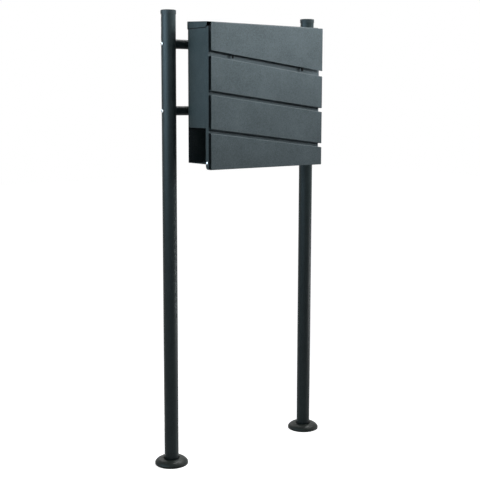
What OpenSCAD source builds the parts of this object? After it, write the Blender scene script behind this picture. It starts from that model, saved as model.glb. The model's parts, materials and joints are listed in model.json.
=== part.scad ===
// Free-standing letterbox with a newspaper compartment, on a stand of two round posts.
// Millimetres, +Z up, +Y to the back. The origin is on the floor, at the centre of the footprint.

/* [Stand] */
// Overall height, to the top of the post caps
stand_h = 1200; // [1150:5:1400]
// How far the posts rise above the flap's top
post_over = 35; // [20:1:80]
// Distance between the post axes
post_spacing = 466; // [460:1:560]
// Outer diameter of a post
post_d = 38; // [34:1:44]
// Wall of a post
post_wall = 2.5; // [1.5:0.1:3]
// Outer diameter of a crossbar
crossbar_d = 24; // [20:1:28]
// Wall of a crossbar
crossbar_wall = 1.5; // [1:0.1:2.5]
// Height of the lower crossbar's axis above the door's lower edge
crossbar_rise = 148; // [133:1:163]
// Distance between the two crossbars
crossbar_pitch = 170; // [150:1:180]
// Diameter of the bolts in the stand
bolt_d = 6; // [5:0.5:7]
// Diameter of the domed bolt heads
bolt_head_d = 11; // [9:0.5:12]
// Height of the domed bolt heads
bolt_head_h = 3.2; // [2.5:0.1:4]
// Length of the threaded inserts in the crossbar ends
insert_l = 22; // [15:1:30]
// Height of a post cap's rim
cap_rim = 10; // [4:0.5:12]
// How far a post cap's rim stands out over the post
cap_over = 1; // [0:0.1:1.5]
// Rounding of a post cap's upper edge
cap_round = 2; // [1:0.1:2.5]
// Length of a post cap's plug
cap_plug = 17; // [14:1:24]

/* [Feet] */
// Diameter of a foot plate
foot_plate_d = 84.5; // [76:0.5:84.5]
// Thickness of a foot plate
foot_plate_t = 4; // [3:0.5:5]
// Anchor holes in each foot plate
anchor_count = 3; // [3:1:4]
// Diameter of an anchor hole
anchor_hole_d = 9; // [7:0.5:10]
// Pitch circle of the anchor holes
anchor_pcd = 60; // [58:1:64]
// Leg of the weld between post and foot plate
weld_leg = 3; // [2:0.5:4]
// Outer diameter of a foot cover
cover_d = 89; // [88:1:92]
// Height of a foot cover
cover_h = 16; // [14:0.5:20]
// Height of the cover's upright rim
cover_rim = 5; // [4.5:0.5:6]
// Distance from the cover's neck to its highest ring
cover_crest = 4; // [2:0.5:6]
// Wall of a foot cover
cover_wall = 1.5; // [1:0.1:2]

/* [Housing] */
// Width of the housing, the door and the slats
box_w = 370; // [340:1:372]
// Depth from the housing's back to the face of the door plate
box_depth = 91.5; // [85:0.5:120]
// Thickness of the sheet metal
sheet_t = 0.8; // [0.7:0.1:1.2]
// Inner radius of the bends
bend_r = 1; // [0.8:0.1:1.5]
// Standoff between the crossbars and the housing's back
spacer_gap = 4.5; // [3:0.5:8]
// Diameter of the saddle spacers
spacer_d = 18; // [15:1:22]
// Distance between the two housing bolts in a crossbar
housing_bolt_pitch = 240; // [160:1:280]
// Height of the newspaper floor's underside above the door's lower edge
floor_rise = 13; // [12:0.5:18]
// Clear height of the newspaper slot's side opening
slot_h = 92; // [80:1:100]
// Width of the inward lips along the housing's front
front_lip = 12; // [10:0.5:16]
// Height of the upturned edges of the letter shelf
shelf_edge = 12; // [8:0.5:14]
// Height of the newspaper floor's upturned back edge
floor_edge = 14; // [10:0.5:20]

/* [Lid] */
// Height of the lid's top at the back above the flap's top
lid_rise = 7.5; // [6:0.5:15]
// Fall of the lid's top from back to front
lid_fall = 4.5; // [2:0.5:6]
// Height of the lid's flanges at the back
lid_flange = 18; // [14:0.5:20]
// How far the lid's front stays behind the face of the door plate
lid_setback = 6; // [5:0.5:8]
// Height of the lid's front lip
lid_lip = 9; // [6:0.5:9]
// How far the lid's front lip stops short of the lid's ends
lip_inset = 16; // [12:0.5:20]
// Room between the lid and the housing's upper edges
lid_room = 2.5; // [1:0.5:4]
// Slant of the front ends of the lid's side flanges
lid_slant = 4; // [2:0.5:6]

/* [Door] */
// Distance from the flap's top down to the door plate's upper edge
door_top_drop = 9; // [8:0.5:11]
// Depth of the door's side flanges
door_flange = 11.5; // [11:0.5:14]
// Rounding of the flanges' rear corners
flange_round = 9; // [6:0.5:10]
// Gap between the door's flanges and the housing
door_gap = 0.6; // [0.4:0.1:1.5]
// Height of the door hinge's axis above the newspaper floor's underside
hinge_rise = 3.5; // [3:0.1:4]
// Distance from the hinge axis to the flanges' rear edge
hinge_inset = 4.7; // [4:0.1:5]
// Diameter of the door hinge pins
hinge_pin_d = 5; // [4:0.5:5]
// Diameter of the hinge pins' outer heads
hinge_head_d = 8; // [7:0.5:9]
// Height of the hinge pins' outer heads
hinge_head_h = 1; // [0.8:0.1:2]
// Radius of the hinge ears on the newspaper floor
ear_r = 4.9; // [4:0.1:5]

/* [Slats] */
// Thickness of the slats and the flap
slat_t = 0.8; // [0.8:0.1:1.5]
// How far the slats stand in front of the door plate
slat_standoff = 13; // [10:0.5:14]
// Fall of the slanted edges over the full width, to the right
slat_fall = 45; // [30:1:48]
// Height of the upper and middle slats
slat_h = 86; // [70:1:90]
// Gap between two slats
slat_gap = 10; // [8:0.5:12]
// Height of the lower slat at its left end
lower_slat_h = 93; // [85:1:95]
// Width of the feet with which a slat lies on the door plate
slat_foot = 12; // [10:0.5:16]
// Distance between the rivets along a slat
rivet_pitch = 150; // [120:1:160]
// Diameter of a rivet
rivet_d = 3.2; // [2.4:0.1:4]
// Height of a rivet head
rivet_head_h = 0.9; // [0.6:0.1:1]

/* [Letter flap] */
// Gap between the flap and the upper slat
flap_gap = 14; // [12:0.5:16]
// Height of the flap at its left end
flap_h = 69; // [66:1:74]
// Depth of the flap's top edge, turned to the back
flap_return = 7; // [5:0.5:8]
// How far the flap's folded upper edge stops short of the flap's ends
return_inset = 12; // [8:0.5:16]
// Distance from the flap's top down to its hinge axis
flap_axis_drop = 9; // [8.5:0.5:10]
// Diameter of the flap's hinge rod
rod_d = 4; // [3:0.5:4]
// Distance between the outer hinge brackets
bracket_pitch = 300; // [260:1:320]
// Width of a hinge bracket's foot
bracket_foot = 12; // [9:0.5:14]
// Height of a hinge bracket's foot
bracket_h = 15; // [14:0.5:17]
// Wall of the material round the hinge rod
knuckle_wall = 1.8; // [1.5:0.1:2]
// Width of the letter slot in the door plate
letter_slot_w = 326; // [240:1:330]
// Height of the letter slot in the door plate
letter_slot_h = 32; // [28:1:34]
// Distance from the hinge axis down to the letter slot
letter_slot_drop = 20; // [19:0.5:22]
// Distance of the flap buffers from the middle
buffer_x = 116; // [90:1:120]
// Width of a flap buffer
buffer_w = 4; // [3:0.5:8]
// Height of a flap buffer
buffer_h = 18; // [14:0.5:18]
// Play between the resting flap and its buffers
buffer_play = 0.2; // [0.1:0.05:0.4]

/* [Lock] */
// Distance of the lock from the right edge of the door
lock_inset = 45; // [42:1:60]
// Distance of the lock's axis below the flap's top
lock_drop = 87; // [85:1:90]
// Diameter of the lock's head
lock_head_d = 21; // [18:0.5:23]
// Height of the lock's head
lock_head_h = 2.5; // [2:0.1:3]
// Diameter of the lock's body
lock_body_d = 17; // [16:0.5:18]
// Diameter of the lock's plug
plug_d = 12; // [10:0.5:13]
// Width across the flats of the lock's nut
lock_nut_w = 22; // [20:0.5:24]
// Thickness of the lock's nut
lock_nut_t = 4; // [3:0.5:5]
// How far the turned cam reaches behind the housing's lip
cam_catch = 6; // [4:0.5:8]
// Width of the cam
cam_w = 12; // [10:0.5:14]
// Thickness of the cam
cam_t = 2; // [1.5:0.1:3]
// Diameter of the cam screw
cam_screw_d = 4; // [3:0.5:5]
// Width of the key slot
key_slot_w = 1.6; // [1.2:0.1:2]
// Height of the key slot
key_slot_h = 8; // [6:0.5:9]
// Depth of the key slot
key_slot_deep = 4; // [3:0.5:6]

/* [Clearances] */
// Running clearance of a turning pin, on the radius
run_gap = 0.06; // [0.03:0.01:0.1]
// Clearance of a bolt or rivet in its hole, on the radius
hole_gap = 0.25; // [0.1:0.05:0.4]
// Clearance of pressed and screwed pieces, on the radius
seat_gap = 0.04; // [0.02:0.01:0.1]
// Play beside a turning piece, along its axis
side_gap = 0.4; // [0.3:0.1:0.8]
// Clearance of the foot covers round the posts, on the radius
cover_gap = 2.4; // [1:0.1:3]

/* [Hidden] */
$fn = 72;

coat = [0.22, 0.25, 0.27];
zinc = [0.72, 0.74, 0.76];
steel = [0.55, 0.57, 0.58];
black_plastic = [0.06, 0.06, 0.07];
eps = 0.01;
cut = 1;
bend_steps = 5;

// Slanted edges of the front, as heights at the left end, from the flap's top down to the door's lower edge
flap_top = stand_h - post_over;
flap_bottom = flap_top - flap_h;
upper_top = flap_bottom - flap_gap;
upper_bottom = upper_top - slat_h;
middle_top = upper_bottom - slat_gap;
middle_bottom = middle_top - slat_h;
lower_top = middle_bottom - slat_gap;
door_z = lower_top - lower_slat_h;
door_top = flap_top - door_top_drop;
slant = atan(slat_fall / box_w);
rivet_xs = [-rivet_pitch, 0, rivet_pitch];
rivet_inset = slat_foot / 2 + slat_t / 2;

// Stand
post_r = post_d / 2;
post_x = post_spacing / 2;
post_top = stand_h - cap_rim;
bar_r = crossbar_d / 2;
bar_zs = [door_z + crossbar_rise, door_z + crossbar_rise + crossbar_pitch];
bar_bore_r = bar_r - crossbar_wall;
bolt_r = bolt_d / 2;
insert_x = post_x - post_r - side_gap;
housing_bolt_xs = [-housing_bolt_pitch / 2, housing_bolt_pitch / 2];
nut_w = bolt_d * 5 / 3;
nut_h = bolt_d * 0.9;

// Depths: the footprint runs from the slats' faces to the backs of the foot covers
cover_r = cover_d / 2;
front_reach = bar_r + spacer_gap + box_depth + slat_standoff;
post_y = (front_reach - cover_r) / 2;
back_y = post_y - bar_r - spacer_gap;
back_in_y = back_y - sheet_t;
door_y = back_y - box_depth;
door_in_y = door_y + sheet_t;
slat_y = door_y - slat_standoff;
flange_y = door_y + door_flange;
front_y = flange_y + door_gap;
lip_y = front_y + sheet_t;
lid_front_y = door_y + lid_setback;
lid_back_y = back_y + sheet_t;

// Housing
half_w = box_w / 2;
side_in_x = half_w - sheet_t;
floor_z = door_z + floor_rise;
slot_top_z = floor_z + slot_h;
ear_x = side_in_x - side_gap;
hinge_y = flange_y - hinge_inset;
hinge_z = floor_z + hinge_rise;
floor_front_y = hinge_y - 0.8 * ear_r;
floor_lip = hinge_rise + 0.5 * ear_r;
relief = bend_r + sheet_t;

// Lid
lid_back_z = flap_top + lid_rise;
lid_edge_z = lid_back_z - lid_flange;
lid_front_z = lid_back_z - lid_fall;
lid_depth = lid_back_y - lid_front_y;
lid_tilt = atan(lid_fall / lid_depth);
shell_top = lid_front_z - sheet_t - lid_room;

// Letter flap
flap_in_y = slat_y + slat_t;
axis_z = flap_top - flap_axis_drop;
axis_y = (flap_in_y + door_y) / 2;
rod_r = rod_d / 2;
knuckle_r = rod_r + knuckle_wall;
bracket_xs = [-bracket_pitch / 2, 0, bracket_pitch / 2];
ear_out_x = bracket_pitch / 2 + slat_t / 2 + side_gap;
ear_foot_h = bracket_h - knuckle_r - side_gap;
rod_half = ear_out_x + slat_t + side_gap + 2 * rod_r;

// Lock
lock_x = half_w - lock_inset;
lock_z = flap_top - lock_drop;
cam_l = lock_inset - sheet_t - front_lip + cam_catch;
cam_y = lip_y + side_gap;
plug_r = plug_d / 2;

// Height of a slanted edge at x, from its height at the left end
function slant_z(left_z, x) = left_z - slat_fall * (x + half_w) / box_w;

function unit(v) = v / norm(v);
function left_of(v) = [-v[1], v[0]];
function flip(list) = [for (i = [len(list) - 1:-1:0]) list[i]];

// Direction of the run of a path before and after its point i
function run_in(path, i) = unit(i > 0 ? path[i] - path[i - 1] : path[1] - path[0]);
function run_out(path, i) = unit(i < len(path) - 1 ? path[i + 1] - path[i] : path[i] - path[i - 1]);

// The sheet's other face, a thickness to the left of the path
function far_face(path, t) = [
  for (i = [0:len(path) - 1])
    let (u = run_in(path, i), v = run_out(path, i)) path[i] + t * (left_of(u) + left_of(v)) / (1 + u * v)
];

// Arc that rounds the corner b between a and c
function round_corner(a, b, c, r) =
  let (u = unit(a - b), v = unit(c - b), half = acos(u * v) / 2, m = b + unit(u + v) * r / sin(half))
  let (s = b + u * r / tan(half) - m, e = b + v * r / tan(half) - m)
  let (a0 = atan2(s[1], s[0]), sweep = (atan2(e[1], e[0]) - a0 + 540) % 360 - 180)
  [for (k = [0:bend_steps]) m + r * [cos(a0 + sweep * k / bend_steps), sin(a0 + sweep * k / bend_steps)]];

// One face of the bent sheet, with a radius for the left turns and one for the right turns
function bent_face(path, face, left_r, right_r) = [
  for (i = [0:len(path) - 1])
    if (i == 0 || i == len(path) - 1) face[i]
    else each round_corner(face[i - 1], face[i], face[i + 1],
      cross(run_in(path, i), run_out(path, i)) > 0 ? left_r : right_r)
];

// Section of a bent sheet whose outer face follows the path and which lies to the left of it
function sheet_section(path, t) = concat(
  bent_face(path, path, bend_r + t, bend_r),
  flip(bent_face(path, far_face(path, t), bend_r, bend_r + t))
);

// Extrusions of a section: in Y and Z along X, and in X and Z along Y
module along_x(x0, x1) {
  translate([x0, 0, 0]) rotate([90, 0, 90]) linear_extrude(x1 - x0) children();
}
module along_y(y0, y1) {
  translate([0, y1, 0]) rotate([90, 0, 0]) linear_extrude(y1 - y0) children();
}

// Round bars along X and along Y
module bar_x(x0, x1, y, z, r) {
  translate([x0, y, z]) rotate([0, 90, 0]) cylinder(r = r, h = x1 - x0);
}
module bar_y(x, z, y0, y1, r) {
  translate([x, y0, z]) rotate([-90, 0, 0]) cylinder(r = r, h = y1 - y0);
}

module mirrored() {
  children();
  mirror([1, 0, 0]) children();
}

// Domed head of a bolt or rivet, on the plane z = 0
module dome(r, h) {
  ball = (r * r + h * h) / (2 * h);
  rotate_extrude() intersection() {
    translate([0, h - ball]) circle(r = ball);
    square([r, h]);
  }
}

// Stand

module post(side) {
  color(coat) translate([side * post_x, post_y, 0]) difference() {
    translate([0, 0, foot_plate_t]) cylinder(r = post_r, h = post_top - foot_plate_t);
    cylinder(r = post_r - post_wall, h = stand_h);
    for (z = bar_zs) bar_x(-post_d, post_d, 0, z, bolt_r + hole_gap);
  }
}

// Plug with three fins that grip the bore of the post
module post_cap(side) {
  bore_r = post_r - post_wall;
  fin = cap_plug / 8;
  rim_r = post_r + cap_over;
  color(black_plastic) translate([side * post_x, post_y, post_top]) rotate_extrude() difference() {
    union() {
      square([rim_r - cap_round, cap_rim]);
      square([rim_r, cap_rim - cap_round]);
      translate([rim_r - cap_round, cap_rim - cap_round]) circle(r = cap_round);
      translate([0, -cap_plug]) square([bore_r - fin / 2, cap_plug]);
      for (k = [1:3]) translate([0, -cap_plug * k / 3.4 - fin]) square([bore_r - seat_gap, fin]);
    }
    translate([0, -cap_plug - eps]) square([bore_r - 1.5 * fin, cap_plug]);
  }
}

module foot_plate(side) {
  color(coat) translate([side * post_x, post_y, 0]) difference() {
    union() {
      cylinder(d = foot_plate_d, h = foot_plate_t);
      translate([0, 0, foot_plate_t]) rotate_extrude()
        polygon([[post_r, 0], [post_r + weld_leg, 0], [post_r, weld_leg]]);
    }
    for (k = [0:anchor_count - 1]) rotate(90 + 360 * k / anchor_count) translate([anchor_pcd / 2, 0, -eps])
      cylinder(d = anchor_hole_d, h = foot_plate_t + weld_leg);
  }
}

// Domed sheet-metal rosette with a hole for the post
module foot_cover(side) {
  neck_r = post_r + cover_gap;
  crest_r = neck_r + cover_crest;
  rise = cover_h - cover_rim;
  dome_r = (pow(cover_r - crest_r, 2) + pow(rise, 2)) / (2 * rise);
  color(coat) translate([side * post_x, post_y, 0]) rotate_extrude() difference() {
    intersection() {
      translate([crest_r, cover_h - dome_r]) circle(r = dome_r);
      translate([neck_r, 0]) square([cover_r - neck_r, cover_h + cut]);
    }
    intersection() {
      translate([crest_r, cover_h - dome_r]) circle(r = dome_r - cover_wall);
      translate([0, -cut]) square([cover_r - cover_wall, cover_h]);
    }
  }
}

// Tube between the posts, its ends cut to the posts' curve
module crossbar(z) {
  color(coat) difference() {
    bar_x(-post_x, post_x, post_y, z, bar_r);
    bar_x(-post_x - cut, post_x + cut, post_y, z, bar_bore_r);
    for (x = [-post_x, post_x])
      translate([x, post_y, z - crossbar_d]) cylinder(r = post_r, h = 2 * crossbar_d);
    for (x = housing_bolt_xs) bar_y(x, z, post_y - crossbar_d, post_y + crossbar_d, bolt_r + hole_gap);
  }
}

module crossbar_inserts() {
  color(steel) for (z = bar_zs) mirrored() difference() {
    bar_x(insert_x - insert_l, insert_x, post_y, z, bar_bore_r - seat_gap);
    bar_x(insert_x - insert_l - cut, insert_x + cut, post_y, z, bolt_r + seat_gap);
  }
}

module crossbar_bolts() {
  head_x = post_x + post_r;
  color(zinc) for (z = bar_zs) mirrored() {
    bar_x(insert_x - insert_l, head_x + eps, post_y, z, bolt_r);
    translate([head_x, post_y, z]) rotate([0, 90, 0]) dome(bolt_head_d / 2, bolt_head_h);
  }
}

// Saddles between the flat back and the round crossbars
module housing_spacers() {
  color(black_plastic) for (z = bar_zs, x = housing_bolt_xs) difference() {
    bar_y(x, z, back_y, post_y - bar_r / 2, spacer_d / 2);
    bar_x(x - spacer_d, x + spacer_d, post_y, z, bar_r);
    bar_y(x, z, back_y - cut, post_y, bolt_r + hole_gap);
  }
}

module housing_bolts() {
  color(zinc) for (z = bar_zs, x = housing_bolt_xs) {
    bar_y(x, z, back_in_y - eps, post_y + bar_r + nut_h, bolt_r);
    translate([x, back_in_y, z]) rotate([90, 0, 0]) dome(bolt_head_d / 2, bolt_head_h);
  }
}

// Cap nuts behind the crossbars
module housing_nuts() {
  color(zinc) for (z = bar_zs, x = housing_bolt_xs) translate([x, post_y + bar_r, z]) rotate([-90, 0, 0]) {
    difference() {
      union() {
        cylinder(d = nut_w / cos(30), h = nut_h, $fn = 6);
        translate([0, 0, nut_h]) dome(nut_w / 2 - seat_gap, nut_w / 2.5);
      }
      translate([0, 0, -eps]) cylinder(r = bolt_r + seat_gap, h = nut_h + seat_gap);
    }
  }
}

// Housing

// Back and sides bent from one sheet, with lips along the front; the sides end above the newspaper slot
module housing_shell() {
  path = [
    [half_w - sheet_t - front_lip, front_y], [half_w, front_y], [half_w, back_y],
    [-half_w, back_y], [-half_w, front_y], [sheet_t + front_lip - half_w, front_y]
  ];
  color(coat) difference() {
    translate([0, 0, floor_z]) linear_extrude(shell_top - floor_z) polygon(sheet_section(path, sheet_t));
    mirrored() translate([side_in_x - front_lip - cut, front_y - cut, floor_z - cut])
      cube([front_lip + sheet_t + 2 * cut, back_y - relief - front_y + cut, slot_h + cut]);
    mirrored() translate([side_in_x - front_lip - cut, front_y - cut, shell_top - lid_lip])
      cube([front_lip + sheet_t + 2 * cut, 2 * relief + cut, lid_lip + cut]);
    for (z = bar_zs, x = housing_bolt_xs) bar_y(x, z, back_in_y - cut, back_y + cut, bolt_r + hole_gap);
  }
}

// A point of the lid in its own frame, which lies flat with the slanted top
function lid_local(p) = let (d = p - [lid_back_y, lid_back_z])
  [d[0] * cos(lid_tilt) + d[1] * sin(lid_tilt), d[1] * cos(lid_tilt) - d[0] * sin(lid_tilt)];

// Cover that falls a little to the front, with flanges over the shell and a lip behind the door
module lid() {
  lid_x = half_w + sheet_t;
  side_path = [[lid_x, -2 * lid_flange], [lid_x, 0], [-lid_x, 0], [-lid_x, -2 * lid_flange]];
  side_outline = [
    [lid_back_y, lid_edge_z], [lid_back_y, lid_back_z + cut], [lid_front_y, lid_back_z + cut],
    [lid_front_y, lid_front_z - lid_lip], [lid_front_y + lid_slant, lid_edge_z]
  ];
  back_path = [[lid_back_y, lid_edge_z], [lid_back_y, lid_back_z], [lid_front_y, lid_front_z]];
  front_path = [[lid_back_y, lid_back_z], [lid_front_y, lid_front_z], [lid_front_y, lid_front_z - lid_lip]];
  color(coat) translate([0, lid_back_y, lid_back_z]) rotate([lid_tilt, 0, 0]) {
    intersection() {
      along_y(-2 * lid_depth, lid_depth) polygon(sheet_section(side_path, sheet_t));
      along_x(-box_w, box_w) polygon([for (p = side_outline) lid_local(p)]);
    }
    along_x(relief - lid_x, lid_x - relief)
      polygon(sheet_section([for (p = back_path) lid_local(p)], sheet_t));
    along_x(lip_inset - lid_x, lid_x - lip_inset)
      polygon(sheet_section([for (p = front_path) lid_local(p)], sheet_t));
  }
}

// Floor of the letter compartment, a pan with upturned edges
module letter_shelf() {
  half = side_in_x - seat_gap;
  front = lip_y + seat_gap;
  edge_z = slot_top_z + shelf_edge;
  side_path = [[-half, edge_z], [-half, slot_top_z], [half, slot_top_z], [half, edge_z]];
  ends_path = [[front, edge_z], [front, slot_top_z], [back_in_y, slot_top_z], [back_in_y, edge_z]];
  color(coat) {
    along_y(front + relief, back_in_y - relief) polygon(sheet_section(side_path, sheet_t));
    along_x(2 * relief - half, half - 2 * relief) polygon(sheet_section(ends_path, sheet_t));
  }
}

// Floor of the newspaper compartment, with ears at the front corners that hold the door's pins
module newspaper_floor() {
  ear_front_y = floor_front_y + relief;
  ear_l = hinge_y + ear_r - ear_front_y;
  ends_path = [
    [floor_front_y, floor_z + floor_lip], [floor_front_y, floor_z],
    [back_in_y, floor_z], [back_in_y, floor_z + floor_edge]
  ];
  color(coat) difference() {
    union() {
      along_x(relief - ear_x, ear_x - relief) polygon(sheet_section(ends_path, sheet_t));
      along_x(-ear_x, ear_x) translate([ear_front_y, floor_z]) square([ear_l, sheet_t]);
      mirrored() along_x(ear_x - sheet_t, ear_x) {
        translate([hinge_y, hinge_z]) circle(r = ear_r);
        translate([ear_front_y, floor_z]) square([ear_l, hinge_rise]);
      }
    }
    bar_x(-box_w, box_w, hinge_y, hinge_z, hinge_pin_d / 2 + seat_gap);
    along_x(-box_w, box_w) translate([hinge_y - 2 * ear_r, floor_z - ear_r]) square([4 * ear_r, ear_r]);
  }
}

// Pins of the door hinge, riveted in the floor's ears, with their heads outside the door's flanges
module door_hinge_pins() {
  pin_r = hinge_pin_d / 2;
  head_x = half_w + side_gap;
  tail = sheet_t;
  color(zinc) mirrored() {
    bar_x(ear_x - sheet_t - tail, head_x + eps, hinge_y, hinge_z, pin_r);
    translate([head_x, hinge_y, hinge_z]) rotate([0, 90, 0]) dome(hinge_head_d / 2, hinge_head_h);
  }
}

// Door

// Plate with side flanges, the letter slot, the lock's hole and the slats' rivet holes
module door_plate() {
  path = [[-half_w, flange_y], [-half_w, door_y], [half_w, door_y], [half_w, flange_y]];
  color(coat) difference() {
    translate([0, 0, door_z]) linear_extrude(door_top - door_z) polygon(sheet_section(path, sheet_t));
    flange_corner(door_z, 1);
    flange_corner(door_top, -1);
    translate([-letter_slot_w / 2, door_y - cut, axis_z - letter_slot_drop - letter_slot_h])
      cube([letter_slot_w, sheet_t + 2 * cut, letter_slot_h]);
    bar_y(lock_x, lock_z, door_y - cut, door_in_y + cut, lock_body_d / 2 + hole_gap);
    bar_x(-box_w, box_w, hinge_y, hinge_z, hinge_pin_d / 2 + run_gap);
    rivet_bores();
  }
}

// What is cut from the flanges to round a rear corner at height z, the door being on the side up
module flange_corner(z, up) {
  r = flange_round;
  difference() {
    translate([-box_w, flange_y - r, up > 0 ? z - cut : z - r]) cube([2 * box_w, r + cut, r + cut]);
    bar_x(-2 * box_w, 2 * box_w, flange_y - r, z + up * r, r);
  }
}

// Calls its children at every rivet of the slats
module each_rivet() {
  rise = rivet_inset / cos(slant);
  feet = [
    lower_top - rise, middle_bottom + rise, middle_top - rise, upper_bottom + rise, upper_top - rise
  ];
  for (x = rivet_xs) {
    translate([x, 0, door_z + rivet_inset]) children();
    for (z = feet) translate([x, 0, slant_z(z, x)]) children();
  }
}

module rivet_bores() {
  each_rivet() bar_y(0, 0, door_y - slat_t - cut, door_in_y + cut, rivet_d / 2 + seat_gap);
}

module slat_rivets() {
  r = rivet_d / 2;
  color(coat) each_rivet() {
    bar_y(0, 0, door_y - slat_t - rivet_head_h, door_in_y + eps, r);
    bar_y(0, 0, door_y - slat_t - rivet_head_h, door_y - slat_t, 1.4 * r);
    translate([0, door_in_y, 0]) rotate([-90, 0, 0]) dome(2 * r, rivet_head_h);
  }
}

// Edge of a slat, bent back to the door plate and in again to a foot; it starts at the left end at
// height z, and up says on which side the slat lies
module slat_edge(z, angle, up) {
  front = -slat_t / 2;
  back = front + slat_standoff;
  path = [[front, slat_h], [front, 0], [back, 0], [back, slat_foot]];
  translate([-half_w, slat_y - front, z]) rotate([0, angle, 0]) mirror([0, 0, up > 0 ? 0 : 1])
    along_x(-slat_h, box_w + slat_h) polygon(sheet_section(path, slat_t));
}

// Part of a slat from one edge to its middle line, cut off square at both ends
module slat_half(z, angle, up, middle) {
  fall = box_w * tan(angle);
  past = up * slat_gap;
  intersection() {
    slat_edge(z, angle, up);
    along_y(slat_y - cut, door_y + cut)
      polygon([[-half_w, z - past], [half_w, z - fall - past], [half_w, middle[1]], [-half_w, middle[0]]]);
  }
}

// Slat with its lower and upper edges at the given heights at the left end
module slat(bottom, bottom_angle, top) {
  middle = [bottom + top, bottom + top - slat_fall - box_w * tan(bottom_angle)] / 2;
  color(coat) difference() {
    union() {
      slat_half(bottom, bottom_angle, 1, middle);
      slat_half(top, slant, -1, middle);
    }
    rivet_bores();
  }
}

// Letter flap and its hinge

module letter_flap() {
  return_x = half_w - return_inset;
  notch_x = return_x + slat_t;
  notch_z = flap_top - flap_return;
  return_path = [[slat_y, flap_top - 2 * flap_return], [slat_y, flap_top], [slat_y + flap_return, flap_top]];
  color(coat) {
    along_x(-return_x, return_x) polygon(flip_sheet(return_path));
    along_y(slat_y, flap_in_y) polygon([
      [-half_w, flap_bottom], [half_w, flap_bottom - slat_fall], [half_w, flap_top], [notch_x, flap_top],
      [notch_x, notch_z], [-notch_x, notch_z], [-notch_x, flap_top], [-half_w, flap_top]
    ]);
  }
}

// Section of a sheet that lies to the right of its path
function flip_sheet(path) = sheet_section(flip(path), slat_t);

// Eye round the rod, and the web that joins it to a plate whose face is at face_y
module hinge_eye(face_y, bore_r) {
  web_y = min(face_y, axis_y);
  web_w = abs(face_y - axis_y);
  difference() {
    union() {
      translate([axis_y, axis_z]) circle(r = knuckle_r);
      translate([web_y, axis_z - bracket_h]) square([web_w, bracket_h + rod_r]);
    }
    translate([axis_y, axis_z]) circle(r = bore_r);
  }
}

// Angle brackets on the door plate that carry the rod
module flap_hinge_brackets() {
  foot_h = door_top - axis_z + bracket_h;
  color(zinc) for (x = bracket_xs) {
    foot_x = x > 0 ? x + slat_t / 2 - bracket_foot : x - slat_t / 2;
    along_x(x - slat_t / 2, x + slat_t / 2) hinge_eye(door_y, rod_r + seat_gap);
    translate([foot_x, door_y - slat_t, axis_z - bracket_h]) cube([bracket_foot, slat_t, foot_h]);
  }
}

// Ears on the back of the flap that turn on the rod
module flap_hinge_ears() {
  color(zinc) mirrored() {
    along_x(ear_out_x, ear_out_x + slat_t) hinge_eye(flap_in_y, rod_r + run_gap);
    translate([ear_out_x, flap_in_y, axis_z - bracket_h]) cube([bracket_foot, slat_t, ear_foot_h]);
  }
}

module flap_hinge_rod() {
  color(zinc) bar_x(-rod_half, rod_half, axis_y, axis_z, rod_r);
}

// Push-on caps that keep the rod in place
module hinge_rod_caps() {
  color(zinc) mirrored() difference() {
    union() {
      bar_x(rod_half - 2 * rod_r, rod_half, axis_y, axis_z, knuckle_r);
      translate([rod_half, axis_y, axis_z]) rotate([0, 90, 0]) dome(knuckle_r, rod_r / 2);
    }
    bar_x(rod_half - 2 * rod_r - cut, rod_half, axis_y, axis_z, rod_r + seat_gap);
  }
}

// Rubber buffers on the door plate, half covered by the flap's lower edge
module flap_buffers() {
  r = buffer_w / 2;
  reach = buffer_h / 2 - r;
  color(black_plastic) for (x = [-buffer_x, buffer_x]) translate([x, 0, slant_z(flap_bottom, x)])
    along_y(flap_in_y + buffer_play, door_y) {
      for (z = [-reach, reach]) translate([0, z]) circle(r = r);
      translate([-r, -reach]) square([buffer_w, 2 * reach]);
    }
}

// Cam lock behind the flap

module lock_body() {
  color(zinc) difference() {
    union() {
      translate([lock_x, door_y, lock_z]) rotate([90, 0, 0]) cylinder(d = lock_head_d, h = lock_head_h);
      bar_y(lock_x, lock_z, door_y - eps, cam_y - side_gap / 2, lock_body_d / 2);
    }
    bar_y(lock_x, lock_z, slat_y, back_y, plug_r + run_gap);
  }
}

module lock_nut() {
  color(zinc) translate([lock_x, door_in_y, lock_z]) rotate([-90, 0, 0]) difference() {
    cylinder(d = lock_nut_w / cos(30), h = lock_nut_t, $fn = 6);
    translate([0, 0, -cut]) cylinder(d = lock_body_d + 2 * seat_gap, h = lock_nut_t + 2 * cut);
  }
}

module lock_plug() {
  front = door_y - lock_head_h - side_gap;
  color(steel) difference() {
    bar_y(lock_x, lock_z, front, cam_y, plug_r);
    translate([lock_x - key_slot_w / 2, front - cut, lock_z - key_slot_h / 2])
      cube([key_slot_w, key_slot_deep + cut, key_slot_h]);
    bar_y(lock_x, lock_z, cam_y - 2 * cam_screw_d, cam_y + cut, cam_screw_d / 2 + seat_gap);
  }
}

// Cam at rest, hanging down; a quarter turn takes its tip behind the housing's right lip
module lock_cam() {
  tip = cam_l - cam_w / 2;
  color(zinc) translate([lock_x, 0, lock_z]) along_y(cam_y, cam_y + cam_t) difference() {
    union() {
      circle(r = plug_r + 1);
      translate([-cam_w / 2, -tip]) square([cam_w, tip]);
      translate([0, -tip]) circle(r = cam_w / 2);
    }
    circle(r = cam_screw_d / 2 + seat_gap);
  }
}

module lock_cam_screw() {
  head_y = cam_y + cam_t;
  color(zinc) {
    bar_y(lock_x, lock_z, cam_y - 1.5 * cam_screw_d, head_y + eps, cam_screw_d / 2);
    translate([lock_x, head_y, lock_z]) rotate([-90, 0, 0]) dome(cam_screw_d, cam_screw_d / 2);
  }
}

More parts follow.
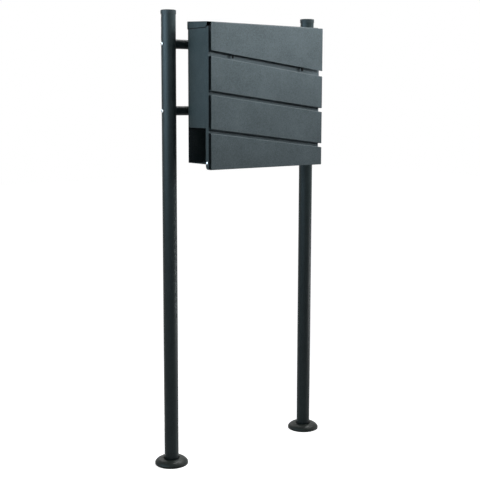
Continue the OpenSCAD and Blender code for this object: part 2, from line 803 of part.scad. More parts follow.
post(-1);  // left_post
post(1);  // right_post
post_cap(-1);  // left_post_cap
post_cap(1);  // right_post_cap
foot_plate(-1);  // left_foot_plate
foot_plate(1);  // right_foot_plate
foot_cover(-1);  // left_foot_cover
foot_cover(1);  // right_foot_cover
crossbar(bar_zs[1]);  // upper_crossbar
crossbar(bar_zs[0]);  // lower_crossbar
crossbar_inserts();
crossbar_bolts();
housing_spacers();
housing_bolts();
housing_nuts();
housing_shell();
lid();
letter_shelf();
newspaper_floor();
door_hinge_pins();
door_plate();
slat(upper_bottom, slant, upper_top);  // upper_slat
slat(middle_bottom, slant, middle_top);  // middle_slat
slat(door_z, 0, lower_top);  // lower_slat
slat_rivets();
flap_hinge_brackets();
flap_hinge_rod();
hinge_rod_caps();
flap_buffers();
letter_flap();
flap_hinge_ears();
lock_body();
lock_nut();
lock_plug();
lock_cam();
lock_cam_screw();
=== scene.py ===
"""Looks of a free-standing letterbox.

Finishes, rounded sheet edges, bolt sockets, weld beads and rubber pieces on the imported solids,
and the stage that they are shown on.
"""
import json
import math

import bmesh
import bpy
from bpy.props import FloatProperty, FloatVectorProperty, PointerProperty
from mathutils import Matrix, Quaternion, Vector


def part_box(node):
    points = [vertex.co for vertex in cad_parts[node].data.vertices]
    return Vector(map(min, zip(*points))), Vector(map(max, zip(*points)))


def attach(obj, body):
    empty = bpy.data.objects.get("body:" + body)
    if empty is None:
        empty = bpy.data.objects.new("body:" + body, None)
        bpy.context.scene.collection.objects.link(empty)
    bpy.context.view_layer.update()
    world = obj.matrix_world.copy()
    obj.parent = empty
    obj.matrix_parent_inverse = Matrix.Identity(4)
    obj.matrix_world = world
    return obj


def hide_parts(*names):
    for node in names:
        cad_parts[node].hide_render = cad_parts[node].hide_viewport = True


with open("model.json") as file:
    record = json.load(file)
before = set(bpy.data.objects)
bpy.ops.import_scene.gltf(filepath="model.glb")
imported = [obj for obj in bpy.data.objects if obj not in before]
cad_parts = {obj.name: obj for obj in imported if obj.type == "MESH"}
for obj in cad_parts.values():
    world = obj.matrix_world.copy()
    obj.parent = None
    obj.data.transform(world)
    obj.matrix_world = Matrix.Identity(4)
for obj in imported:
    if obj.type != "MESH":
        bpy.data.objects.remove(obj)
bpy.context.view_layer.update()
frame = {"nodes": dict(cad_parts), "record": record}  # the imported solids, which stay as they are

bl_info = {
    "name": "Free-standing letterbox",
    "version": (1, 0, 0),
    "blender": (4, 5, 0),
    "location": "View3D > Sidebar > Letterbox",
    "description": "Finishes and small fittings of a letterbox on a two-post stand",
    "category": "Object",
}

MM = 0.001
STAND = "stand_and_housing"
MERGE = 2e-6  # distance under which loose triangles share a corner, in metres
FLAT = math.radians(0.3)  # faces closer than this in angle are one flat face
SHARP = math.radians(35)  # edges sharper than this are rounded or stay crisp
RING = 24  # edges of a turned loop
ARC_STEPS = 4  # edges along a bolt's dome and across a weld bead
RIPPLE_STEPS = 4  # edges along one ripple of a weld bead
EDGE_STEPS = 2  # edges across a rounded corner
CHAMFER = 0.5 * MM  # edge of a bolt's end and of a buffer's pad
# The lid's seal is a black strip that paints the shadow line under the lid's flanges.
SHADE_STRIP_EDGE = 0.2 * MM  # rounding of the lid's seal
BEAD_SINK = 0.3 * MM  # how far a weld bead reaches into post and plate
FLUSH = 0.02 * MM  # how far a corner weld reaches into the sheet beside it and stays under its faces
HEAD_EDGE = 0.2  # straight share of a bolt head's height
SOCKET_RIM = 1.15  # radius of the flat round a hex socket, in radii of the socket's corners
NOISE_LOW, NOISE_HIGH = 0.3, 0.7  # a noise pattern has nearly all its values between these
MIX_SHARE, MIX_FIRST, MIX_SECOND, MIX_RESULT = 0, 6, 7, 2  # sockets of a Mix node for colours
FLOOR_HALF = 8  # half the floor's side, in metres
GLOW_NEAR, GLOW_FAR = 0.6, 2.4  # the floor turns to full white between these distances, in metres

# Roughness of each finish where it is smoothest and where it is dullest.
ROUGHNESS = {
    "box": (0.5, 0.62),
    "stand": (0.4, 0.48),
    "plastic": (0.5, 0.68),
    "zinc": (0.3, 0.46),
    "stainless": (0.26, 0.38),
    "nickel": (0.2, 0.34),
    "rubber": (0.7, 0.9),
}

# Softboxes: their place, the point they face, their width and height in metres,
# and the spread of their light in degrees.
SOFTBOXES = {
    "key": ((1, -1.8, 1.8), (0, 0, 1.9), 1.1, 1.1, 64),
    "side": ((-1.8, 0.1, 1.65), (0, 0, 1.45), 0.6, 0.6, 80),
    "top": ((1.4, -0.4, 2.4), (0, 0, 1.05), 0.8, 0.8, 58),
    "back": ((0.3, 2.2, 1.7), (0, 0, 1), 0.8, 0.8, 90),
    "strip": ((-2, -0.25, 1.35), (0, -0.25, 1.35), 3.2, 0.95, 110),
    "low": ((1.6, -0.85, 0.25), (0, 0, 0.25), 0.8, 0.3, 34),
    "over": ((0.75, 0.5, 2.3), (0, 0, 0), 1.6, 0.8, 40),
}


def linear(code):
    """An sRGB hex colour as linear red, green and blue."""
    parts = [int(code[i : i + 2], 16) / 255 for i in (1, 3, 5)]
    return tuple(p / 12.92 if p <= 0.04045 else ((p + 0.055) / 1.055) ** 2.4 for p in parts)


def colour(name, description, code):
    """A colour whose default is an sRGB hex value."""
    return FloatVectorProperty(
        name=name, description=description, subtype="COLOR", size=3, min=0, max=1, default=linear(code)
    )


def millimetres(name, description, size):
    """A length whose default is given in millimetres."""
    return FloatProperty(name=name, description=description, unit="LENGTH", min=0, default=size * MM)


def watts(name, description, power):
    """The power of a softbox."""
    return FloatProperty(name=name, description=description, unit="POWER", min=0, default=power)


def degrees(name, description, angle):
    """An angle whose default is given in degrees."""
    return FloatProperty(
        name=name, description=description, subtype="ANGLE", unit="ROTATION", default=math.radians(angle)
    )


class LetterboxFinishes(bpy.types.PropertyGroup):
    """Colours of the finishes."""

    coat: colour("Box coat", "Powder coat of the box", "#464F52")
    coat_pale: colour("Box coat, pale", "Paler clouds in the box's coat", "#5B666B")
    stand: colour("Stand coat", "Powder coat of the stand", "#232D2F")
    stand_pale: colour("Stand coat, pale", "Paler clouds in the stand's coat", "#313B3D")
    # The cover colours are the stand's coat made darker and less blue: painted shade for the dim light at
    # the feet.
    cover: colour("Cover coat", "Powder coat of the foot covers", "#202624")
    cover_pale: colour("Cover coat, pale", "Paler clouds in the foot covers' coat", "#2D3330")
    plastic: colour("Moulded plastic", "Post caps and spacers", "#283134")
    plastic_pale: colour("Moulded plastic, pale", "Flow marks in the plastic", "#2E373A")
    zinc: colour("Zinc plating", "Flap hinge, inserts, and the lock's nut, cam and screw", "#A9ADB0")
    zinc_dull: colour("Zinc plating, dull", "Duller patches of the plating", "#8E9294")
    stainless: colour("Stainless steel", "Bolts, cap nuts and door pins", "#B9BCBE")
    nickel: colour("Nickel plating", "The lock's body and plug", "#C9C6BE")
    # The rubber of the lid's seal is black to paint the shadow line under the lid's flanges.
    rubber: colour("Rubber", "Flap buffers and lid seal", "#080808")
    rubber_bloom: colour("Rubber, bloom", "Greyer patches of the rubber", "#131414")


class LetterboxSizes(bpy.types.PropertyGroup):
    """Sizes of the edges and small fittings."""

    sheet_edge: millimetres("Sheet edge", "Rounding that the coat gives to a cut sheet edge", 0.22)
    flap_sheet: millimetres("Flap sheet", "Thickness of the flap's sheet", 0.8)
    corner_slit: millimetres("Corner slit", "Width of the welded slits beside the flap's folded edge", 0.8)
    corner_inset: millimetres("Corner inset", "Distance from the flap's ends to the welded slits", 11.2)
    corner_height: millimetres("Corner height", "Height of the welded slits", 7)
    # The seal is a black strip that stands for the shadow line under the lid's flanges: painted shade.
    shade_strip_height: millimetres("Seal height", "Height of the lid's seal below its flanges", 2.2)
    shade_strip_width: millimetres("Seal width", "Thickness of the lid's seal", 0.7)
    buffer_width: millimetres("Buffer width", "Width of a buffer's pad", 3)
    buffer_height: millimetres("Buffer height", "Height of a buffer's pad", 20)
    buffer_depth: millimetres("Buffer depth", "Depth of a buffer's pad", 6)
    buffer_stem: millimetres("Buffer stem", "Diameter of a buffer's stem", 3)
    head_width: millimetres("Head diameter", "Diameter of a bolt's domed head", 9)
    bolt_width: millimetres("Bolt diameter", "Diameter of a bolt's shank", 6)
    bolt_length: millimetres("Bolt length", "Whole length of a crossbar bolt", 63.6)
    head_height: millimetres("Head height", "Height of a bolt's domed head", 2.6)
    socket_width: millimetres("Socket width", "Width across flats of a bolt's hex socket", 4)
    socket_depth: millimetres("Socket depth", "Depth of a bolt's hex socket", 2)
    post_width: millimetres("Post diameter", "Diameter of a post at its weld", 38)
    plate_height: millimetres("Plate height", "Thickness of a foot plate", 4)
    bead_leg: millimetres("Weld leg", "Height and width of a weld bead", 3)
    bead_pitch: millimetres("Weld pitch", "Distance between the ripples of a weld bead", 2)
    bead_ripple: millimetres("Weld ripple", "Depth of the ripples of a weld bead", 0.35)
    grain: millimetres("Coat grain", "Grain of the powder coat as it is drawn", 2.4)


class LetterboxStage(bpy.types.PropertyGroup):
    """Lights, floor and camera."""

    floor: colour("Floor", "Plain pale floor", "#D8D9DA")
    floor_glow: FloatProperty(
        name="Floor glow", description="White that the floor shows near the feet", default=0.93
    )
    fill: FloatProperty(name="Fill", description="Strength of the even light from all round", default=0.08)
    fill_tint: colour("Fill tint", "Colour of the even light", "#F2F6F7")
    key_power: watts("Key", "Power of the softbox at the front right", 17.6)
    side_power: watts("Side", "Power of the softbox at the left", 2.2)
    side_tint: colour("Side tint", "Colour of the softbox at the left", "#CBEFF5")
    top_power: watts("Top", "Power of the softbox at the upper right", 6.5)
    back_power: watts("Back", "Power of the softbox behind", 4.2)
    strip_power: watts("Strip", "Power of the long softbox that the posts mirror on their left", 58)
    strip_tint: colour("Strip tint", "Colour of the long softbox", "#C7E9FF")
    low_power: watts("Low", "Power of the low softbox that the posts mirror on their right", 1.1)
    over_power: watts("Over", "Power of the softbox overhead that the foot covers mirror", 7.5)
    lens: FloatProperty(name="Lens", description="Focal length on a 36 mm sensor, in mm", default=70.479)
    shift: FloatProperty(name="Shift", description="Vertical shift of the picture", default=-0.047)
    eye: FloatVectorProperty(
        name="Eye", description="Place of the camera", subtype="TRANSLATION", unit="LENGTH",
        default=(-1.5489, -2.0204, 0.9769),
    )
    turn: degrees("Turn", "Camera direction, clockwise from +Y", 36.892)
    dip: degrees("Dip", "Camera direction below the horizon", 7.2144)
    roll: degrees("Roll", "Turn of the camera about its own direction", 0.1034)


def add_node(tree, kind, settings, sockets):
    """A shader node with its settings, and with its sockets set or linked."""
    made = tree.nodes.new(kind)
    for name, value in settings.items():
        setattr(made, name, value)
    for name, value in sockets.items():
        if isinstance(value, bpy.types.NodeSocket):
            tree.links.new(value, made.inputs[name])
        else:
            made.inputs[name].default_value = value
    return made


def new_material(name):
    """An empty node material, its tree and its Object coordinates."""
    made = bpy.data.materials.new(name)
    made.use_nodes = True
    tree = made.node_tree
    tree.nodes.clear()
    place = add_node(tree, "ShaderNodeTexCoord", {}, {}).outputs["Object"]
    return made, tree, place


def opaque(rgb):
    """A colour with full alpha, as a socket takes it."""
    return (*rgb, 1)


def powder_coat(name, film, pale, roughness):
    """A powder coat on steel sheet or tube."""
    # Textured polyester powder coat, sprayed on steel and baked: a dull film, cool dark grey with a
    # little green. Its grainy skin spreads the highlight into a soft glow. The real grain is near 0.4 mm,
    # too fine to show here, so it is drawn coarser; wide pale clouds come from the film's uneven thickness.
    if name in bpy.data.materials:
        return bpy.data.materials[name]
    grain_size = bpy.context.scene.letterbox_sizes.grain
    made, tree, place = new_material(name)
    cloud_size = 55 * MM
    grain_height = 0.12 * MM
    grain_weight = 2  # the grain counts twice as much as the clouds
    middle = (grain_weight + 1) / 2
    smooth, dull = roughness
    clouds = add_node(
        tree, "ShaderNodeTexNoise", {},
        {"Vector": place, "Scale": 1 / cloud_size, "Detail": 3, "Roughness": 0.6},
    ).outputs["Fac"]
    grain = add_node(
        tree, "ShaderNodeTexNoise", {},
        {"Vector": place, "Scale": 1 / grain_size, "Detail": 2, "Roughness": 0.55},
    ).outputs["Fac"]
    spread = add_node(
        tree, "ShaderNodeMath", {"operation": "MULTIPLY_ADD"}, {0: grain, 1: grain_weight, 2: clouds}
    ).outputs[0]
    share = add_node(
        tree, "ShaderNodeMapRange", {},
        {"Value": spread, "From Min": middle - 0.5, "From Max": middle + 0.5},
    ).outputs["Result"]
    paint = add_node(
        tree, "ShaderNodeMix", {"data_type": "RGBA"},
        {MIX_SHARE: share, MIX_FIRST: opaque(film), MIX_SECOND: opaque(pale)},
    ).outputs[MIX_RESULT]
    rough = add_node(
        tree, "ShaderNodeMapRange", {},
        {"Value": grain, "From Min": NOISE_LOW, "From Max": NOISE_HIGH, "To Min": smooth, "To Max": dull},
    ).outputs["Result"]
    bump = add_node(
        tree, "ShaderNodeBump", {}, {"Height": grain, "Strength": 0.35, "Distance": grain_height}
    ).outputs["Normal"]
    shader = add_node(
        tree, "ShaderNodeBsdfPrincipled", {},
        {"Base Color": paint, "Roughness": rough, "IOR": 1.5, "Specular IOR Level": 0.12, "Normal": bump},
    ).outputs[0]
    add_node(tree, "ShaderNodeOutputMaterial", {}, {"Surface": shader})
    return made


def box_coat():
    """The coat of the box's sheets."""
    finishes = bpy.context.scene.letterbox_finishes
    return powder_coat("textured_powder_coat", finishes.coat, finishes.coat_pale, ROUGHNESS["box"])


def stand_coat():
    """The coat of the stand, darker and smoother than the box's."""
    finishes = bpy.context.scene.letterbox_finishes
    return powder_coat("satin_powder_coat", finishes.stand, finishes.stand_pale, ROUGHNESS["stand"])


def shaded_cover_coat():
    """The coat of the foot covers, as smooth as the posts': a darker, less blue copy of the stand's coat
    that paints in the shade of the dim, neutral light near the floor.
    """
    finishes = bpy.context.scene.letterbox_finishes
    return powder_coat("neutral_powder_coat", finishes.cover, finishes.cover_pale, ROUGHNESS["stand"])


def moulded_plastic():
    """The plastic of caps and spacers."""
    # Polypropylene, injection moulded in a spark-eroded mould: dark grey, with an even matt skin of fine
    # pits. The pits are about 0.2 mm and are drawn at 0.8 mm so that they show; flow marks cloud the grey.
    name = "moulded_polypropylene"
    if name in bpy.data.materials:
        return bpy.data.materials[name]
    finishes = bpy.context.scene.letterbox_finishes
    made, tree, place = new_material(name)
    pit_size = 0.8 * MM
    pit_depth = 0.05 * MM
    flow_size = 9 * MM
    smooth, dull = ROUGHNESS["plastic"]
    pits = add_node(
        tree, "ShaderNodeTexNoise", {}, {"Vector": place, "Scale": 1 / pit_size, "Detail": 2}
    ).outputs["Fac"]
    flow = add_node(
        tree, "ShaderNodeTexNoise", {}, {"Vector": place, "Scale": 1 / flow_size, "Detail": 2}
    ).outputs["Fac"]
    grey = add_node(
        tree, "ShaderNodeMix", {"data_type": "RGBA"},
        {MIX_SHARE: flow, MIX_FIRST: opaque(finishes.plastic), MIX_SECOND: opaque(finishes.plastic_pale)},
    ).outputs[MIX_RESULT]
    rough = add_node(
        tree, "ShaderNodeMapRange", {}, {"Value": pits, "To Min": smooth, "To Max": dull}
    ).outputs["Result"]
    bump = add_node(
        tree, "ShaderNodeBump", {}, {"Height": pits, "Strength": 0.3, "Distance": pit_depth}
    ).outputs["Normal"]
    shader = add_node(
        tree, "ShaderNodeBsdfPrincipled", {},
        {"Base Color": grey, "Roughness": rough, "IOR": 1.49, "Specular IOR Level": 0.2, "Normal": bump},
    ).outputs[0]
    add_node(tree, "ShaderNodeOutputMaterial", {}, {"Surface": shader})
    return made


def zinc_plating():
    """The plating of the flap's hinge, the inserts, and the lock's nut, cam and screw."""
    # Electroplated zinc, passivated: a pale grey metal with a soft gloss, duller in cloudy patches where the
    # passivation is thicker, and with faint rolling lines from the sheet.
    name = "passivated_zinc_plating"
    if name in bpy.data.materials:
        return bpy.data.materials[name]
    finishes = bpy.context.scene.letterbox_finishes
    made, tree, place = new_material(name)
    patch_size = 6 * MM
    line_width = 0.6 * MM
    line_depth = 0.02 * MM
    rolled = (0.03, 1, 1)  # draws the lines out along X
    smooth, dull = ROUGHNESS["zinc"]
    patches = add_node(
        tree, "ShaderNodeTexNoise", {},
        {"Vector": place, "Scale": 1 / patch_size, "Detail": 4, "Roughness": 0.6},
    ).outputs["Fac"]
    drawn = add_node(tree, "ShaderNodeMapping", {}, {"Vector": place, "Scale": rolled}).outputs[0]
    lines = add_node(
        tree, "ShaderNodeTexNoise", {}, {"Vector": drawn, "Scale": 1 / line_width, "Detail": 1}
    ).outputs["Fac"]
    metal = add_node(
        tree, "ShaderNodeMix", {"data_type": "RGBA"},
        {MIX_SHARE: patches, MIX_FIRST: opaque(finishes.zinc), MIX_SECOND: opaque(finishes.zinc_dull)},
    ).outputs[MIX_RESULT]
    rough = add_node(
        tree, "ShaderNodeMapRange", {},
        {"Value": patches, "From Min": NOISE_LOW, "From Max": NOISE_HIGH, "To Min": smooth, "To Max": dull},
    ).outputs["Result"]
    bump = add_node(
        tree, "ShaderNodeBump", {}, {"Height": lines, "Strength": 0.2, "Distance": line_depth}
    ).outputs["Normal"]
    shader = add_node(
        tree, "ShaderNodeBsdfPrincipled", {},
        {"Base Color": metal, "Metallic": 1, "Roughness": rough, "Normal": bump},
    ).outputs[0]
    add_node(tree, "ShaderNodeOutputMaterial", {}, {"Surface": shader})
    return made


def turned_metal(name, rgb, roughness):
    """A bright metal with tool marks, for bolts, nuts, pins and the lock."""
    # Stainless steel or nickel plating over a turned or pressed blank: bright, with faint tool marks a
    # fraction of a millimetre apart and small smears that soften the reflection.
    if name in bpy.data.materials:
        return bpy.data.materials[name]
    made, tree, place = new_material(name)
    mark_pitch = 0.35 * MM
    mark_depth = 0.01 * MM
    smear_size = 2.5 * MM
    smooth, dull = roughness
    marks = add_node(
        tree, "ShaderNodeTexNoise", {}, {"Vector": place, "Scale": 1 / mark_pitch, "Detail": 2}
    ).outputs["Fac"]
    smears = add_node(
        tree, "ShaderNodeTexNoise", {}, {"Vector": place, "Scale": 1 / smear_size, "Detail": 2}
    ).outputs["Fac"]
    rough = add_node(
        tree, "ShaderNodeMapRange", {},
        {"Value": smears, "From Min": NOISE_LOW, "From Max": NOISE_HIGH, "To Min": smooth, "To Max": dull},
    ).outputs["Result"]
    bump = add_node(
        tree, "ShaderNodeBump", {}, {"Height": marks, "Strength": 0.12, "Distance": mark_depth}
    ).outputs["Normal"]
    shader = add_node(
        tree, "ShaderNodeBsdfPrincipled", {},
        {"Base Color": opaque(rgb), "Metallic": 1, "Roughness": rough, "Normal": bump},
    ).outputs[0]
    add_node(tree, "ShaderNodeOutputMaterial", {}, {"Surface": shader})
    return made


def stainless_steel():
    """The steel of bolts, cap nuts and door pins."""
    finishes = bpy.context.scene.letterbox_finishes
    return turned_metal("turned_stainless_steel", finishes.stainless, ROUGHNESS["stainless"])


def nickel_plating():
    """The plating of the lock's body and plug."""
    finishes = bpy.context.scene.letterbox_finishes
    return turned_metal("nickel_plated_zinc_casting", finishes.nickel, ROUGHNESS["nickel"])


def moulded_rubber():
    """The rubber of the flap buffers, and of the lid's seal: a black strip that paints the shadow line under
    the lid's flanges.
    """
    # Nitrile rubber, moulded or extruded: black and dull, with a faint bloom that greys it in small patches.
    name = "moulded_rubber"
    if name in bpy.data.materials:
        return bpy.data.materials[name]
    finishes = bpy.context.scene.letterbox_finishes
    made, tree, place = new_material(name)
    bloom_size = 2 * MM
    bloom_height = 0.05 * MM
    smooth, dull = ROUGHNESS["rubber"]
    bloom = add_node(
        tree, "ShaderNodeTexNoise", {}, {"Vector": place, "Scale": 1 / bloom_size, "Detail": 3}
    ).outputs["Fac"]
    black = add_node(
        tree, "ShaderNodeMix", {"data_type": "RGBA"},
        {MIX_SHARE: bloom, MIX_FIRST: opaque(finishes.rubber), MIX_SECOND: opaque(finishes.rubber_bloom)},
    ).outputs[MIX_RESULT]
    rough = add_node(
        tree, "ShaderNodeMapRange", {}, {"Value": bloom, "To Min": smooth, "To Max": dull}
    ).outputs["Result"]
    bump = add_node(
        tree, "ShaderNodeBump", {}, {"Height": bloom, "Strength": 0.2, "Distance": bloom_height}
    ).outputs["Normal"]
    shader = add_node(
        tree, "ShaderNodeBsdfPrincipled", {},
        {"Base Color": black, "Roughness": rough, "IOR": 1.52, "Specular IOR Level": 0.15, "Normal": bump},
    ).outputs[0]
    add_node(tree, "ShaderNodeOutputMaterial", {}, {"Surface": shader})
    return made


def coat_node(name, finish):
    """A CAD node keeps its shape and takes a finish."""
    slots = frame["nodes"][name].data.materials
    slots.clear()
    slots.append(finish)


def body_of(name):
    """The body that a CAD node rides on."""
    bodies = frame["record"]["behaviour"]["bodies"]
    return next(body for body, nodes in bodies.items() if name in nodes)


def put_in_scene(name, shape, finish, body):
    """A finished mesh as a piece that moves with a body."""
    mesh = bpy.data.meshes.new(name)
    shape.to_mesh(mesh)
    shape.free()
    mesh.materials.append(finish)
    piece = bpy.data.objects.new(name, mesh)
    bpy.context.scene.collection.objects.link(piece)
    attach(piece, body)
    return piece


def merged(name):
    """A CAD node's mesh with its loose triangles joined, flat faces whole again."""
    shape = bmesh.new()
    shape.from_mesh(frame["nodes"][name].data)
    bmesh.ops.remove_doubles(shape, verts=shape.verts, dist=MERGE)
    bmesh.ops.dissolve_limit(shape, angle_limit=FLAT, verts=shape.verts, edges=shape.edges)
    return shape


def soften(name, finish, edge):
    """A copy with rounded edges stands for a CAD node."""
    shape = merged(name)
    sharp = [e for e in shape.edges if e.is_manifold and e.calc_face_angle() > SHARP]
    bmesh.ops.bevel(
        shape, geom=sharp, offset=edge, offset_type="OFFSET", segments=EDGE_STEPS, profile=0.5,
        affect="EDGES", clamp_overlap=False, material=-1,
    )
    for face in shape.faces:
        face.smooth = True
    piece = put_in_scene(name + ".edged", shape, finish, body_of(name))
    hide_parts(name)
    weighted = piece.modifiers.new("Flat faces", "WEIGHTED_NORMAL")
    weighted.mode = "FACE_AREA_WITH_ANGLE"
    weighted.weight = 100  # the large faces alone set the normals


def shade_smooth(shape):
    """Smooth faces with crisp edges."""
    bmesh.ops.recalc_face_normals(shape, faces=shape.faces)
    for face in shape.faces:
        face.smooth = True
    for edge in shape.edges:
        edge.smooth = edge.calc_face_angle() < SHARP


def ring(shape, sides, radius, height):
    """The edges of a closed loop, RING in number, round or with flats."""
    level = Matrix.Translation((0, 0, height))
    points = bmesh.ops.create_circle(shape, segments=sides, radius=radius, matrix=level)["verts"]
    edges = list({e for v in points for e in v.link_edges})
    if sides < RING:
        split = bmesh.ops.subdivide_edges(shape, edges=edges, cuts=RING // sides - 1)["geom_split"]
        edges = [e for e in split if isinstance(e, bmesh.types.BMEdge)]
    return edges


def skin(shape, loops):
    """Walls from loop to loop, and an end on the first and the last."""
    for inner, outer in zip(loops, loops[1:]):
        bmesh.ops.bridge_loops(shape, edges=inner + outer)
    for end in (loops[0], loops[-1]):
        bmesh.ops.edgeloop_fill(shape, edges=end)


def socket_bolt(shape, length):
    """A bolt with a domed head and a hex socket, upright, its head's top at the origin."""
    sizes = bpy.context.scene.letterbox_sizes
    hex_r = sizes.socket_width / math.sqrt(3)
    head_r = sizes.head_width / 2
    shank_r = sizes.bolt_width / 2
    dome_h = sizes.head_height - HEAD_EDGE * sizes.head_height
    flat_angle = math.asin(SOCKET_RIM * hex_r / head_r)
    loops = [ring(shape, 6, hex_r, -sizes.socket_depth), ring(shape, 6, hex_r, 0)]
    for step in range(ARC_STEPS + 1):
        angle = flat_angle + (math.pi / 2 - flat_angle) * step / ARC_STEPS
        drop = dome_h * (math.cos(flat_angle) - math.cos(angle)) / math.cos(flat_angle)
        loops.append(ring(shape, RING, head_r * math.sin(angle), -drop))
    loops.append(ring(shape, RING, head_r, -sizes.head_height))
    loops.append(ring(shape, RING, shank_r, -sizes.head_height))
    loops.append(ring(shape, RING, shank_r, CHAMFER - length))
    loops.append(ring(shape, RING, shank_r - CHAMFER, -length))
    skin(shape, loops)


def buffer_pad(shape, length):
    """A pad with round ends on a stem, upright, the pad's face at the origin and its length along Y."""
    sizes = bpy.context.scene.letterbox_sizes
    pad_r = sizes.buffer_width / 2
    stem_r = sizes.buffer_stem / 2
    depth = sizes.buffer_depth
    loops = [
        ring(shape, RING, pad_r - CHAMFER, 0),
        ring(shape, RING, pad_r, -CHAMFER),
        ring(shape, RING, pad_r, CHAMFER - depth),
        ring(shape, RING, pad_r - CHAMFER, -depth),
    ]
    reach = sizes.buffer_height / 2 - pad_r
    for point in shape.verts:
        point.co.y += math.copysign(reach, point.co.y)
    loops.append(ring(shape, RING, stem_r, -depth))
    loops.append(ring(shape, RING, stem_r, -length))
    skin(shape, loops)


def put_copies(shape, places):
    """A pattern becomes one copy at each place: a point, and the direction of its upper end."""
    points = list(shape.verts)
    pattern = [*points, *shape.edges, *shape.faces]
    for point, ahead in places:
        made = bmesh.ops.duplicate(shape, geom=pattern)["geom"]
        turn = Vector((0, 0, 1)).rotation_difference(Vector(ahead)).to_matrix().to_4x4()
        moved = [v for v in made if isinstance(v, bmesh.types.BMVert)]
        bmesh.ops.transform(shape, matrix=Matrix.Translation(point) @ turn, verts=moved)
    bmesh.ops.delete(shape, geom=points, context="VERTS")


def weld_bead(shape, centre):
    """A rippled bead in the corner between a post and its foot plate."""
    sizes = bpy.context.scene.letterbox_sizes
    post_r = sizes.post_width / 2
    ripples = round(2 * math.pi * post_r / sizes.bead_pitch)
    corner = centre + Vector((post_r, 0, 0))
    section = [Vector((-BEAD_SINK, 0, -BEAD_SINK))]
    for step in range(ARC_STEPS + 1):
        angle = math.radians(90 * step / ARC_STEPS)
        section.append(sizes.bead_leg * Vector((math.cos(angle), 0, math.sin(angle))))
    points = [shape.verts.new(corner + p) for p in section]
    lines = [shape.edges.new((a, b)) for a, b in zip(points, points[1:] + points[:1])]
    bmesh.ops.spin(
        shape, geom=points + lines, cent=centre, axis=(0, 0, 1), angle=2 * math.pi,
        steps=RIPPLE_STEPS * ripples, use_merge=True,
    )
    for point in shape.verts:
        out = point.co - centre
        angle = math.atan2(out.y, out.x)
        root = centre + post_r * Vector((math.cos(angle), math.sin(angle), 0))
        lag = out.z / sizes.bead_leg
        depth = sizes.bead_ripple * (0.5 - 0.5 * math.cos(ripples * angle + lag))
        point.co = root + (point.co - root) * (1 - depth / sizes.bead_leg)


